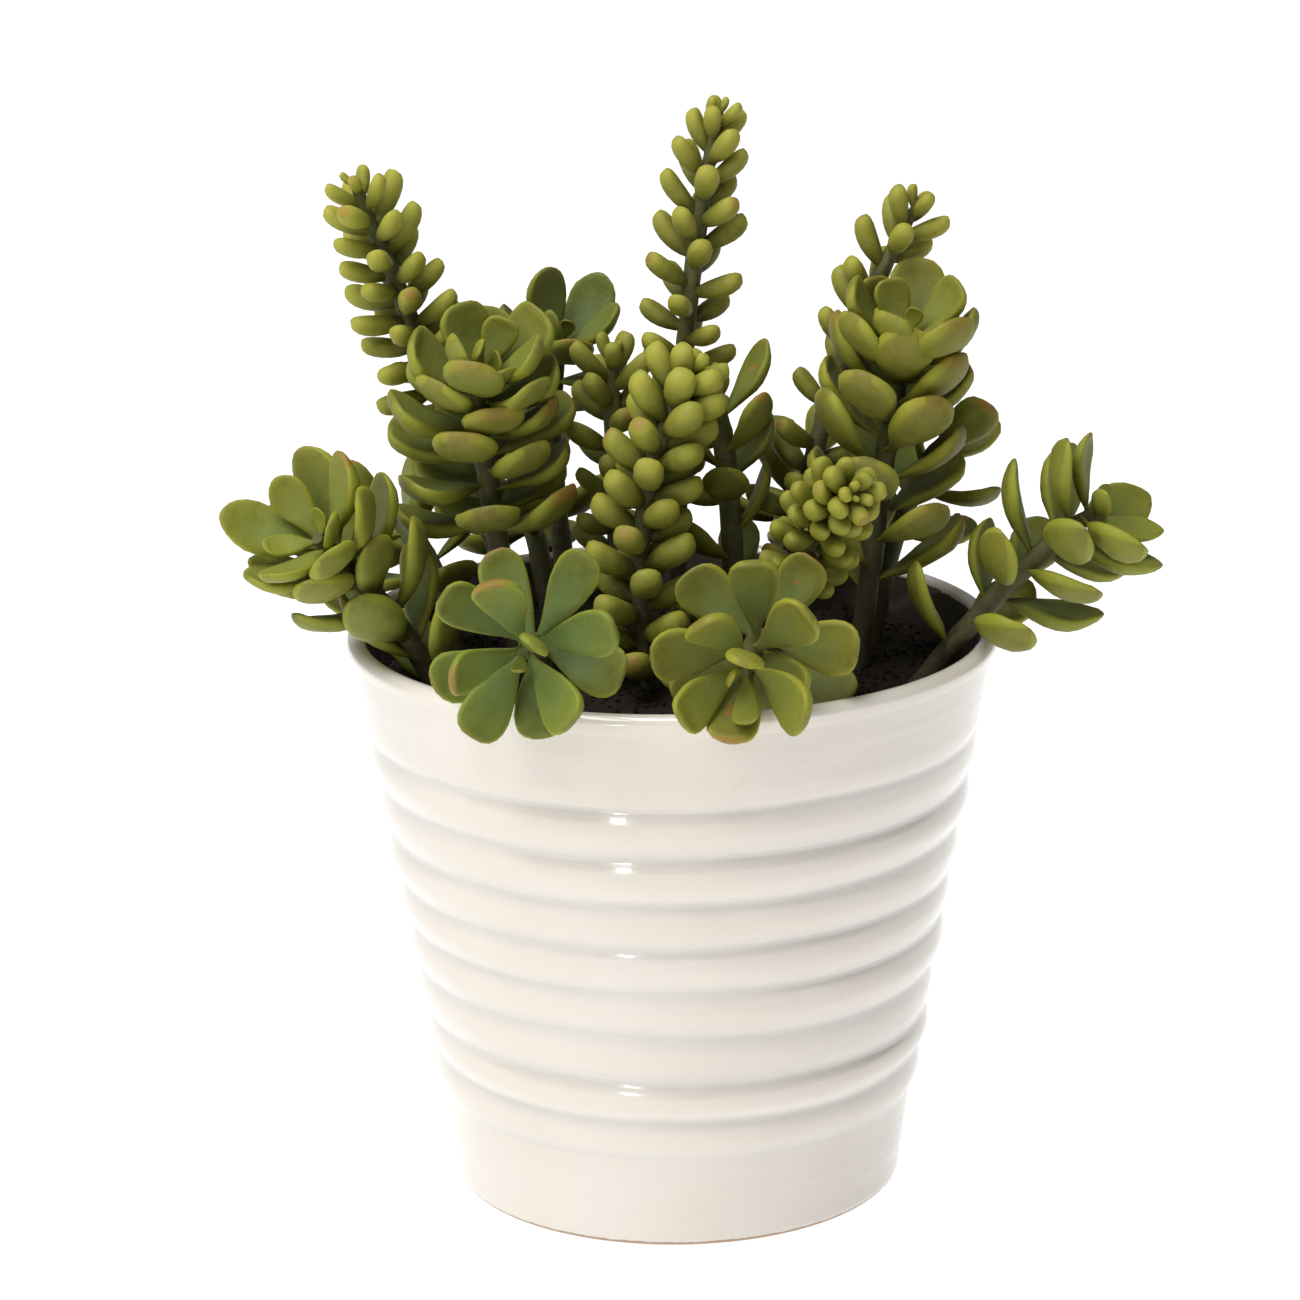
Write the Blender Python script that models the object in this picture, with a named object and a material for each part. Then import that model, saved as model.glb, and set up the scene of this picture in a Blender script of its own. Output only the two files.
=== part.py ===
"""A potted succulent: trailing and upright stonecrop stems planted in a ribbed, glazed pot.

Eighteen leafy stems stand in plain holes in the soil. Six carry bead leaves, plump as
jelly beans, and twelve carry broad, spoon-shaped leaves in loose rosettes. Leaves are set
round each stem by the golden angle, and one that would touch a neighbour is bent clear.
All sizes are in millimetres. The origin is the middle of the pot's underside, +Z up.
"""

import math

import bmesh
import bpy
import numpy as np
from mathutils import Matrix, Vector

MM = 0.001

# Pot: a tapered, turned wall with eight soft ribs between nine grooves.
RIM_RADIUS = 70.0
FOOT_RADIUS = 48.5
POT_HEIGHT = 123.5
FLARE = 1.15
WALL = 5.0
FLOOR = 7.0
LIP_ROUND = 2.2
LIP_STEPS = 4
FOOT_CHAMFER = 1.6
FLOOR_ROUND = 4.0
GROOVES = (20.7, 30.0, 39.0, 50.0, 60.5, 70.5, 81.0, 91.5, 102.0)
GROOVE_DEPTH = 1.0
RIB_RISE = 1.5
BAND_RISE = 0.7
POT_SIDES = 30

# Soil: fills the pot to a little below the lip, and rises gently to the middle.
SOIL_LEVEL = 113.5
SOIL_MOUND = 3.0
SOIL_LUMP = 0.4
SOIL_RINGS = (1.0, 0.65, 0.3)
SOIL_SIDES = 24
GAP = 0.45
PLANTED_DEPTH = 12.0

# Leaves: outline powers say how fast the blade widens from its base and closes at its tip;
# `arch` lifts the tip, `plump` is thickness over width, and `youngest` is the size of the
# first leaf, which grows to full size over the share `grown_by` of the leaves.
BEAD = {
    "widen": 0.72, "close": 0.34, "arch": 0.12, "plump": 0.9, "sides": 4, "section_turn": 22.5,
    "across": (0.0,), "youngest": 0.36, "grown_by": 0.16, "stem_radius": 2.0,
}
BROAD = {
    "widen": 1.4, "close": 0.42, "arch": 0.22, "plump": 0.46, "sides": 4, "section_turn": 0.0,
    "across": (-0.62, -0.2, 0.2, 0.62), "youngest": 0.34, "grown_by": 0.22, "stem_radius": 2.3,
}
NECK = 0.32
NECK_POWER = 6
ROOT_SUNK = 1.2
LEAF_RINGS = 2
SECTION_FILL = 0.85

# How leaves are set: spiral and growth rules, the seeded unevenness of each leaf, and the
# ways in which a leaf is turned, leant or shortened in turn until it is clear.
GOLDEN_ANGLE = 137.508
GROWTH_POWER = 0.8
TILT_POWER = 0.6
USUAL_CROWDING = 1.2
UNEVEN_TURN = 7.0
UNEVEN_TILT = 6.0
UNEVEN_LENGTH = 0.09
UNEVEN_WIDTH = 0.07
FIRST_SEED = 100
PATH_STEPS = 48
BALLS_ALONG = (0.3, 0.45, 0.6, 0.75, 0.88, 0.96)
CLEARANCE = 1.2
REACH = 34.0
TRIES = (
    (0, 0, 1.0), (0, -12, 1.0), (14, 0, 1.0), (-14, 0, 1.0), (0, 14, 1.0), (16, -14, 0.95),
    (-16, -14, 0.95), (0, -24, 0.95), (26, 6, 0.92), (-26, 6, 0.92), (0, -12, 0.8),
    (20, -24, 0.85), (-20, -24, 0.85), (0, -30, 0.8), (0, 0, 0.7), (0, -20, 0.65),
)

# Stems: foot (x, y), bend and tip (x, y, z); leaves count down from the tip over `span` of
# the stem. `leaf` is the length, width of a grown leaf; `tilt` its angle off the stem at the
# tip and at the lowest leaf; `crowd` above 1 packs the young leaves; `phase` turns the spiral.
STEMS = {
    "rosette_front_left": {
        "kind": BROAD, "foot": (-27, -36), "bend": (-26, -44, 139), "tip": (-30, -69, 137),
        "count": 13, "span": 0.40, "leaf": (22.5, 10.5), "tilt": (25, 90), "phase": 260,
        "crowd": 1.8, "green": (0.14, 0.175, 0.045),
    },
    "rosette_front_right": {
        "kind": BROAD, "foot": (16, -37), "bend": (22, -30, 142), "tip": (14, -70, 133),
        "count": 18, "span": 0.45, "leaf": (21.5, 11), "tilt": (25, 100), "phase": 150,
        "crowd": 1.6, "green": (0.17, 0.18, 0.04),
    },
    "bead_spike_front": {
        "kind": BEAD, "foot": (-2, -24), "bend": (-14, -26, 152), "tip": (5, -19, 184),
        "count": 46, "span": 0.85, "leaf": (12.5, 6.5), "tilt": (50, 75), "phase": 55,
        "turn": -1, "crowd": 1.3, "green": (0.22, 0.22, 0.045),
    },
    "rosette_left_tall": {
        "kind": BROAD, "foot": (-30, -8), "bend": (-43, -8, 175), "tip": (-38, -20, 184),
        "count": 33, "span": 0.65, "leaf": (20.5, 13), "tilt": (30, 90), "phase": 20,
        "crowd": 1.0, "green": (0.165, 0.18, 0.045),
    },
    "rosette_right_tall": {
        "kind": BROAD, "foot": (38, -6), "bend": (48, -1, 181), "tip": (49, -9, 188),
        "count": 33, "span": 0.80, "leaf": (22, 12.5), "tilt": (45, 65), "phase": 60,
        "crowd": 1.0, "green": (0.175, 0.18, 0.045),
    },
    "rosette_low_left": {
        "kind": BROAD, "foot": (-42, -22), "bend": (-61, -18, 138), "tip": (-73, -34, 152),
        "count": 26, "span": 0.85, "leaf": (23, 11.5), "tilt": (55, 60), "phase": 40,
        "crowd": 1.6, "close": 0.6, "green": (0.185, 0.2, 0.045),
    },
    "branch_far_right": {
        "kind": BROAD, "foot": (44, -16), "bend": (71, -14, 140), "tip": (90, -19, 153),
        "count": 20, "span": 0.70, "leaf": (21.5, 12), "tilt": (70, 75), "phase": 100,
        "crowd": 1.4, "close": 0.7, "green": (0.165, 0.18, 0.04),
    },
    "bead_head_right": {
        "kind": BEAD, "foot": (24, -22), "bend": (26, -23, 156), "tip": (37, -49, 164),
        "count": 42, "span": 0.55, "leaf": (10, 4.5), "tilt": (30, 90), "phase": 265,
        "turn": -1, "crowd": 1.2, "green": (0.19, 0.19, 0.035),
    },
    "bead_spike_left": {
        "kind": BEAD, "foot": (-27, 8), "bend": (-49, 17, 172), "tip": (-66, 6, 219),
        "count": 44, "span": 0.50, "leaf": (12.5, 5), "tilt": (40, 90), "phase": 145,
        "crowd": 0.9, "green": (0.23, 0.23, 0.045),
    },
    "bead_spike_back": {
        "kind": BEAD, "foot": (2, 13), "bend": (-1, 12, 179), "tip": (11, 13, 232),
        "count": 46, "span": 0.70, "leaf": (12, 5), "tilt": (30, 85), "phase": 55,
        "crowd": 1.1, "green": (0.22, 0.215, 0.045),
    },
    "bead_spike_right": {
        "kind": BEAD, "foot": (20, 8), "bend": (29, 7, 173), "tip": (53, 8, 213),
        "count": 34, "span": 0.75, "leaf": (11.5, 5), "tilt": (30, 80), "phase": 20,
        "crowd": 1.2, "green": (0.21, 0.205, 0.04),
    },
    "bead_spike_middle": {
        "kind": BEAD, "foot": (-10, -1), "bend": (-13, 2, 155), "tip": (-12, 0, 183),
        "count": 26, "span": 0.70, "leaf": (11.5, 5), "tilt": (35, 80), "phase": 0,
        "crowd": 1.1, "green": (0.17, 0.17, 0.035),
    },
    "rosette_middle_right": {
        "kind": BROAD, "foot": (13, -5), "bend": (14, 2, 157), "tip": (9, -1, 175),
        "count": 16, "span": 0.8, "leaf": (18.5, 9.5), "tilt": (45, 70), "phase": 70,
        "turn": -1, "crowd": 1.1, "close": 0.6, "green": (0.15, 0.16, 0.04),
    },
    "rosette_back_left": {
        "kind": BROAD, "foot": (-20, 26), "bend": (-30, 37, 163), "tip": (-23, 24, 181),
        "count": 12, "span": 0.40, "leaf": (20, 10.5), "tilt": (20, 75), "phase": 85,
        "crowd": 1.4, "close": 0.6, "green": (0.13, 0.15, 0.045),
    },
    "rosette_right_back": {
        "kind": BROAD, "foot": (42, 16), "bend": (46, 16, 145), "tip": (60, 15, 161),
        "count": 10, "span": 0.55, "leaf": (19.5, 11), "tilt": (30, 90), "phase": 0,
        "crowd": 1.2, "green": (0.155, 0.17, 0.04),
    },
    "rosette_low_back_left": {
        "kind": BROAD, "foot": (-26, 40), "bend": (-29, 38, 138), "tip": (-36, 58, 142),
        "count": 12, "span": 0.50, "leaf": (19.5, 11.5), "tilt": (30, 95), "phase": 0,
        "crowd": 1.2, "green": (0.16, 0.175, 0.04),
    },
    "rosette_low_back_right": {
        "kind": BROAD, "foot": (22, 38), "bend": (24, 38, 140), "tip": (31, 58, 144),
        "count": 12, "span": 0.50, "leaf": (19.5, 11.5), "tilt": (30, 95), "phase": 0,
        "crowd": 1.2, "green": (0.165, 0.18, 0.045),
    },
    "rosette_left_back": {
        "kind": BROAD, "foot": (-46, 14), "bend": (-48, 16, 136), "tip": (-62, 24, 142),
        "count": 11, "span": 0.50, "leaf": (19.5, 11), "tilt": (30, 90), "phase": 0,
        "crowd": 1.2, "green": (0.17, 0.185, 0.045),
    },
}
STEM_STEPS = 4
STEM_BEVEL = 1
TIP_TAPER = 0.5


def unit(vector):
    return vector / np.linalg.norm(vector)


def wall_radius(z):
    """The outer wall's radius in its grooves, flaring a little faster near the rim."""
    return FOOT_RADIUS + (RIM_RADIUS - GROOVE_DEPTH - FOOT_RADIUS) * (z / POT_HEIGHT) ** FLARE


def soil_height(rho):
    """The soil's surface, highest in the middle."""
    return SOIL_LEVEL + SOIL_MOUND * max(0.0, 1 - (rho / (RIM_RADIUS - WALL)) ** 2)


def stem_path(stem, steps):
    """Points, tangents and a side direction along a stem, from its planted foot to its tip."""
    foot = np.array([*stem["foot"], soil_height(math.hypot(*stem["foot"])) - PLANTED_DEPTH])
    bend = np.array(stem["bend"], float)
    tip = np.array(stem["tip"], float)
    t = np.linspace(0, 1, steps + 1)[:, None]
    points = foot * (1 - t) ** 2 + 2 * bend * t * (1 - t) + tip * t**2
    tangents = 2 * (bend - foot) * (1 - t) + 2 * (tip - bend) * t
    tangents /= np.linalg.norm(tangents, axis=1)[:, None]
    side = unit(np.cross([0.0, 1.0, 0.0], tangents[0]))
    sides = []
    for tangent in tangents:
        side = unit(side - tangent * (side @ tangent))
        sides.append(side)
    return points, tangents, np.array(sides)


def leaf_outline(leaf, t):
    """Half-width as a share of the leaf's greatest half-width at t along it."""
    widen, close = leaf["widen"], leaf["close"]
    peak = widen / (widen + close)
    top = peak**widen * (1 - peak) ** close
    return max(t**widen * (1 - t) ** close / top, NECK * (1 - t) ** NECK_POWER)


def leaf_point(leaf, t, across, above):
    """A point of a leaf: t along it, across -1 to 1, above -1 (back) to 1 (face)."""
    half = leaf["width"] / 2 * leaf_outline(leaf, t)
    spine = leaf["root"] + t * leaf["length"] * leaf["along"]
    lift = leaf["arch"] * leaf["length"] * t**2 + half * leaf["plump"] * above
    return spine + lift * leaf["face"] + half * across * leaf["side"]


def leaf_at(stem, path, index, bent, draw):
    """One leaf of a stem, as its directions and sizes; bent is its (turn, lean, scale)."""
    kind = stem["kind"]
    turn, lean, scale = bent
    share = index / (stem["count"] - 1)
    points, tangents, sides = path
    down = stem["span"] * share ** stem.get("crowd", USUAL_CROWDING)
    place = (1 - down) * (len(points) - 1)
    low = min(int(place), len(points) - 2)
    axis, first = tangents[low], sides[low]
    second = np.cross(axis, first)
    spiral = stem.get("turn", 1) * GOLDEN_ANGLE * index
    angle = math.radians(stem["phase"] + spiral + turn + UNEVEN_TURN * draw[0])
    out = first * math.cos(angle) + second * math.sin(angle)
    size = min(1.0, share / kind["grown_by"]) ** GROWTH_POWER
    grown = kind["youngest"] + (1 - kind["youngest"]) * size
    young, old = stem["tilt"]
    opened = young + (old - young) * share**TILT_POWER
    tilt = math.radians(opened + lean + UNEVEN_TILT * draw[1])
    along = axis * math.cos(tilt) + out * math.sin(tilt)
    face = axis * math.sin(tilt) - out * math.cos(tilt)
    length, width = stem["leaf"]
    return {
        **kind,
        "close": stem.get("close", kind["close"]),
        "root": points[low] + (points[low + 1] - points[low]) * (place - low) - axis * ROOT_SUNK,
        "along": along, "face": face, "side": np.cross(face, along),
        "length": length * grown * scale * (1 + UNEVEN_LENGTH * draw[2]),
        "width": width * grown * math.sqrt(scale) * (1 + UNEVEN_WIDTH * draw[3]),
    }


def leaf_balls(leaf):
    """Balls that fill a leaf, one row each: x, y, z, radius."""
    rows = []
    for across in leaf["across"]:
        for t in BALLS_ALONG:
            half = leaf["width"] / 2 * leaf_outline(leaf, t)
            radius = half * leaf["plump"] * math.sqrt(1 - across**2)
            rows.append([*leaf_point(leaf, t, across, 0.0), radius])
    return np.array(rows)


def stem_balls(stem):
    """Balls that fill a stem above the soil."""
    points = stem_path(stem, PATH_STEPS // 2)[0]
    rows = np.column_stack([points, np.full(len(points), stem["kind"]["stem_radius"])])
    return rows[rows[:, 2] > SOIL_LEVEL]


def clear_of_pot(balls):
    """True where no ball meets the pot's wall and lip, or the soil."""
    rho = np.hypot(balls[:, 0], balls[:, 1])
    z, radius = balls[:, 2], balls[:, 3]
    low = np.array([FOOT_RADIUS - WALL / 2, 0.0])
    run = np.array([RIM_RADIUS - WALL / 2, POT_HEIGHT - WALL / 2]) - low
    t = np.clip(((rho - low[0]) * run[0] + (z - low[1]) * run[1]) / (run @ run), 0, 1)
    wall = np.hypot(rho - low[0] - t * run[0], z - low[1] - t * run[1])
    soil = np.array([soil_height(r) for r in rho]) + 2 * SOIL_LUMP
    over_soil = (rho > RIM_RADIUS - WALL) | (z > soil + GAP + radius)
    return (wall > WALL / 2 + GROOVE_DEPTH + radius).all() and over_soil.all()


def clear_of(balls, others):
    """True where no ball comes within the clearance of the others."""
    apart = np.linalg.norm(balls[:, None, :3] - others[None, :, :3], axis=2)
    return (apart > balls[:, None, 3] + others[None, :, 3] + CLEARANCE).all()


def grow_plant():
    """Every stem's leaves, each bent clear of the pot, the soil and the other stems."""
    taken = {name: [stem_balls(stem)] for name, stem in STEMS.items()}
    grown = {}
    for seed, (name, stem) in enumerate(STEMS.items(), FIRST_SEED):
        draws = np.random.default_rng(seed).uniform(-1, 1, (stem["count"], 4))
        path = stem_path(stem, PATH_STEPS)
        others = np.vstack([balls for n in STEMS if n != name for balls in taken[n]])
        apart = np.linalg.norm(others[:, None, :3] - path[0][None], axis=2).min(axis=1)
        others = others[apart < REACH]
        grown[name] = []
        for index in range(stem["count"]):
            for bent in TRIES:
                leaf = leaf_at(stem, path, index, bent, draws[index])
                balls = leaf_balls(leaf)
                if clear_of_pot(balls) and clear_of(balls, others):
                    grown[name].append(leaf)
                    taken[name].append(balls)
                    break
    return grown


def new_material(name, colour, roughness):
    material = bpy.data.materials.new(name)
    material.use_nodes = True
    shader = material.node_tree.nodes["Principled BSDF"]
    shader.inputs["Base Color"].default_value = (*colour, 1.0)
    shader.inputs["Roughness"].default_value = roughness
    shader.inputs["Metallic"].default_value = 0.0
    return material


def new_object(name, data):
    thing = bpy.data.objects.new(name, data)
    bpy.context.scene.collection.objects.link(thing)
    return thing


def finished(name, work, material=None):
    """An object from a bmesh in millimetres, with its faces turned outwards and scaled."""
    bmesh.ops.scale(work, vec=(MM, MM, MM), verts=work.verts)
    bmesh.ops.recalc_face_normals(work, faces=work.faces)
    mesh = bpy.data.meshes.new(name)
    work.to_mesh(mesh)
    work.free()
    if material:
        mesh.materials.append(material)
    return new_object(name, mesh)


def smooth(thing, sharpest):
    thing.data.shade_smooth()
    thing.data.set_sharp_from_angle(angle=math.radians(sharpest))


def spun(section, sides):
    """A bmesh turned about Z from (radius, z) points that start and end on the axis."""
    work = bmesh.new()
    line = [work.verts.new((radius, 0, z)) for radius, z in section]
    edges = [work.edges.new(pair) for pair in zip(line, line[1:])]
    bmesh.ops.spin(
        work, geom=line + edges, cent=(0, 0, 0), axis=(0, 0, 1), angle=2 * math.pi,
        steps=sides, use_merge=True,
    )
    bmesh.ops.remove_doubles(work, verts=work.verts, dist=GAP / 10)
    return work


def pot_section():
    """The pot's section: underside, ribbed wall, rounded lip, inner wall and floor."""
    section = [(0, 0), (FOOT_RADIUS - FOOT_CHAMFER, 0), (FOOT_RADIUS, FOOT_CHAMFER)]
    for low, high in zip(GROOVES, GROOVES[1:]):
        middle = (low + high) / 2
        section.append((wall_radius(low), low))
        section.append((wall_radius(middle) + RIB_RISE, middle))
    band = GROOVES[-1] + FLOOR_ROUND
    section.append((wall_radius(GROOVES[-1]), GROOVES[-1]))
    section.append((wall_radius(band) + BAND_RISE, band))
    for step in range(LIP_STEPS + 1):
        angle = math.pi * step / LIP_STEPS
        radius = RIM_RADIUS - LIP_ROUND * (1 - math.cos(angle))
        section.append((radius, POT_HEIGHT - LIP_ROUND * (1 - math.sin(angle))))
    under_lip = POT_HEIGHT - WALL - 3 * LIP_ROUND
    section.append((wall_radius(under_lip) - WALL, under_lip))
    section.append((wall_radius(FLOOR + FLOOR_ROUND) - WALL, FLOOR + FLOOR_ROUND))
    section.append((wall_radius(FLOOR) - WALL - FLOOR_ROUND, FLOOR))
    section.append((0, FLOOR))
    return section


def make_pot():
    glaze = new_material("cream_glaze", (0.86, 0.82, 0.75), 0.18)
    pot = finished("pot", spun(pot_section(), POT_SIDES), glaze)
    smooth(pot, 50)


def soil_lump(x, y):
    """Small, regular lumps on the soil, from crossed waves."""
    across = math.sin(0.31 * x + 1.3) * math.cos(0.27 * y)
    return SOIL_LUMP * (across + math.sin(0.17 * (x + y)))


def make_soil():
    """The soil in the pot, with a plain hole for each stem's planted foot."""
    clear = WALL + 2 * GAP
    edge = wall_radius(SOIL_LEVEL) - clear
    section = [(0, FLOOR + GAP), (wall_radius(FLOOR) - clear - FLOOR_ROUND, FLOOR + GAP)]
    section.append((wall_radius(FLOOR + FLOOR_ROUND) - clear, FLOOR + FLOOR_ROUND + GAP))
    section += [(edge * share, soil_height(edge * share)) for share in SOIL_RINGS]
    section.append((0, soil_height(0)))
    work = spun(section, SOIL_SIDES)
    for vert in work.verts:
        if vert.co.z > SOIL_LEVEL - GAP:
            vert.co.z += soil_lump(vert.co.x, vert.co.y)
    soil = finished("soil", work, new_material("potting_soil", (0.022, 0.016, 0.012), 0.95))
    holes = []
    for name, stem in STEMS.items():
        points, tangents, _ = stem_path(stem, STEM_STEPS)
        start = points[0] - tangents[0] * GAP
        holes.append(tube(name + "_hole", [start, *points[1:3]], stem["kind"]["stem_radius"] + GAP))
    fuse(soil, holes, "DIFFERENCE")


def tube(name, points, radius, taper=1.0, material=None):
    """A round stem along points with flat, filled ends, tapered over its last stretch."""
    curve = bpy.data.curves.new(name, "CURVE")
    curve.dimensions = "3D"
    curve.bevel_depth = radius * MM
    curve.bevel_resolution = STEM_BEVEL
    curve.use_fill_caps = True
    line = curve.splines.new("POLY")
    line.points.add(len(points) - 1)
    for spot, point in zip(line.points, points):
        spot.co = (*(point * MM), 1.0)
    line.points[-1].radius = taper
    rod = new_object(name, curve)
    bpy.context.view_layer.update()
    graph = bpy.context.evaluated_depsgraph_get()
    mesh = bpy.data.meshes.new_from_object(rod.evaluated_get(graph))
    bpy.data.objects.remove(rod)
    work = bmesh.new()
    work.from_mesh(mesh)
    bmesh.ops.remove_doubles(work, verts=work.verts, dist=GAP / 10 * MM)
    bmesh.ops.scale(work, vec=(1 / MM, 1 / MM, 1 / MM), verts=work.verts)
    return finished(name, work, material)


def leaf_body(name, leaf):
    """One leaf, drawn from a coarse sphere whose rings follow its outline.

    The flat-sided rings are widened to hold most of the rounded section's area.
    """
    sides = leaf["sides"]
    full = math.sqrt(SECTION_FILL * 2 * math.pi / (sides * math.sin(2 * math.pi / sides)))
    work = bmesh.new()
    bmesh.ops.create_uvsphere(work, u_segments=sides, v_segments=LEAF_RINGS + 1, radius=1)
    turned = Matrix.Rotation(math.radians(leaf["section_turn"]), 3, "Z")
    for vert in work.verts:
        t = math.sqrt(max(0.0, min(1.0, (1 + vert.co.z) / 2)))
        around = turned @ Vector((vert.co.x, vert.co.y, 0))
        if around.length > GAP:
            around *= full / around.length
        vert.co = leaf_point(leaf, t, around.x, around.y)
    return finished(name, work)


def fuse(body, others, operation="UNION"):
    """Joins others to a body, or cuts them from it, in one applied Boolean."""
    group = bpy.data.collections.new(body.name + "_parts")
    bpy.context.scene.collection.children.link(group)
    for thing in others:
        bpy.context.scene.collection.objects.unlink(thing)
        group.objects.link(thing)
    joined = body.modifiers.new("fuse", "BOOLEAN")
    joined.operation = operation
    joined.operand_type = "COLLECTION"
    joined.collection = group
    joined.solver = "MANIFOLD"
    bpy.context.view_layer.update()
    graph = bpy.context.evaluated_depsgraph_get()
    result = bpy.data.meshes.new_from_object(body.evaluated_get(graph))
    body.modifiers.clear()
    body.data = result
    for thing in others:
        bpy.data.objects.remove(thing)
    bpy.data.collections.remove(group)
    keep_outer_shell(result)


def keep_outer_shell(mesh):
    """Fills any hollow that the joined shapes seal between them, by keeping the largest shell."""
    work = bmesh.new()
    work.from_mesh(mesh)
    left = set(work.faces)
    shells = []
    while left:
        shell = [left.pop()]
        for face in shell:
            for edge in face.edges:
                for other in edge.link_faces:
                    if other in left:
                        left.remove(other)
                        shell.append(other)
        shells.append(shell)
    shells.sort(key=len)
    inner = [face for shell in shells[:-1] for face in shell]
    bmesh.ops.delete(work, geom=inner, context="FACES")
    work.to_mesh(mesh)
    work.free()


def make_stem(name, leaves):
    """One leafy stem: a tube with every leaf's root sunk into it, joined as one body."""
    stem = STEMS[name]
    green = new_material(name + "_green", stem["green"], 0.5)
    points = stem_path(stem, STEM_STEPS)[0]
    body = tube(name, points, stem["kind"]["stem_radius"], TIP_TAPER, green)
    fuse(body, [leaf_body(f"{name}_leaf_{i}", leaf) for i, leaf in enumerate(leaves)])
    smooth(body, 40)


def main():
    for thing in list(bpy.data.objects):
        bpy.data.objects.remove(thing)
    make_pot()
    make_soil()
    for name, leaves in grow_plant().items():
        make_stem(name, leaves)


if __name__ == "__main__":
    main()
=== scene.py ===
import math

import bmesh
import bpy
import numpy as np
from mathutils import Matrix, Vector, noise


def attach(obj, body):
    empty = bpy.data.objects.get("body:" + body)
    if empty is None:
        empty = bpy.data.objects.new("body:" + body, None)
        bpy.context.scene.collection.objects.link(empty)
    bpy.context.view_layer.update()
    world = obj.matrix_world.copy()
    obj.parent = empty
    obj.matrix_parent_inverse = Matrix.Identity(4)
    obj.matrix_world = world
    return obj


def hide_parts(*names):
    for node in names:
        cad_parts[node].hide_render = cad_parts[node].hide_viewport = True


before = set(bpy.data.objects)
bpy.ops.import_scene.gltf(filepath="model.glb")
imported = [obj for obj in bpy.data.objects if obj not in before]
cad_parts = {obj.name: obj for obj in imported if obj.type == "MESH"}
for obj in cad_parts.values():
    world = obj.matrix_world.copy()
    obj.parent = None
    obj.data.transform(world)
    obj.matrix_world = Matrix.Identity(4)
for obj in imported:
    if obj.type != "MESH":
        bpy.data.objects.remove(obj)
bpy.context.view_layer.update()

# Pot. A stoneware pot thrown on the wheel, with eight soft ribs, a plain band under a rounded
# lip and a turned foot. It is dipped in glossy cream glaze and wiped at the foot, where a thin
# line of brown clay shows. Its grooves carry a cooler, darker tint of painted shade and
# reflection, and the inner wall below the lip is painted dark as shade. Lengths are in
# millimetres.

MM = 0.001
RIM_RADIUS = 70.0
FOOT_RADIUS = 48.5
POT_HEIGHT = 123.5
FLARE = 1.15
WALL = 5.0
FLOOR = 7.0
LIP_ROUND = 2.2
FOOT_CHAMFER = 1.6
FLOOR_ROUND = 4.0
GROOVES = (20.7, 30.0, 39.0, 50.0, 60.5, 70.5, 81.0, 91.5, 102.0)
GROOVE_DEPTH = 1.0
RIB_RISE = 1.5
RIB_STRENGTHS = (0.85, 1.0, 0.7, 0.95, 0.75, 1.0, 1.05, 0.8)
RIB_SWELL = 0.22
RIB_RIPPLE = 0.1
RIB_TURN = 2.4
STRONGEST_RIB = 1.1
BAND_RISE = 0.7
POT_SIDES = 180
WALL_STEP = 0.75
INNER_STEP = 8
FOOT_STEPS = 3
LIP_STEPS = 12
FLOOR_STEPS = 4
FOOT_RING = 9
FOOT_EDGE = 0.8
BELOW_LIP = 1.2
INNER_TOP = POT_HEIGHT - 12
THROWN_TOP = POT_HEIGHT - 4
CALM_OVER = 12
THROWING_WOBBLE = 0.35
HAND_RIPPLE = 0.06
PLAIN_BAND_SHADE = 0.12
GROOVE_SHADE_FALL = 1.5
WIPED_HEIGHT = 0.4
WIPED_FADE = 1.3
INNER_SHADE_DEPTH = 2.5
CREAM = (0.76, 0.715, 0.65)
DEEP_CREAM = (0.72, 0.655, 0.565)
# The cooler, darker tint of painted shade and reflection in the grooves.
GROOVE_SHADE_TINT = (0.60, 0.575, 0.58)
PINHOLE = (0.62, 0.54, 0.44)
BARE_CLAY = (0.30, 0.17, 0.09)
PALE_CLAY = (0.42, 0.27, 0.16)
# Painted shade for the inner wall below the lip, nearly black.
INNER_WALL_SHADE = (0.030, 0.021, 0.014)


class Link:
    """An output of a finish's nodes that takes part in plain arithmetic."""

    def __init__(self, finish, socket):
        self.finish = finish
        self.socket = socket

    def _math(self, operation, first, second):
        values = {0: first, 1: second}
        return self.finish.node("ShaderNodeMath", {"operation": operation}, values)

    def __add__(self, other):
        return self._math("ADD", self, other)

    def __sub__(self, other):
        return self._math("SUBTRACT", self, other)

    def __rsub__(self, other):
        return self._math("SUBTRACT", other, self)

    def __mul__(self, other):
        return self._math("MULTIPLY", self, other)

    def __pow__(self, other):
        return self._math("POWER", self, other)

    def clipped(self):
        return self._math("MAXIMUM", self._math("MINIMUM", self, 1.0), 0.0)

    __radd__ = __add__


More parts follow.
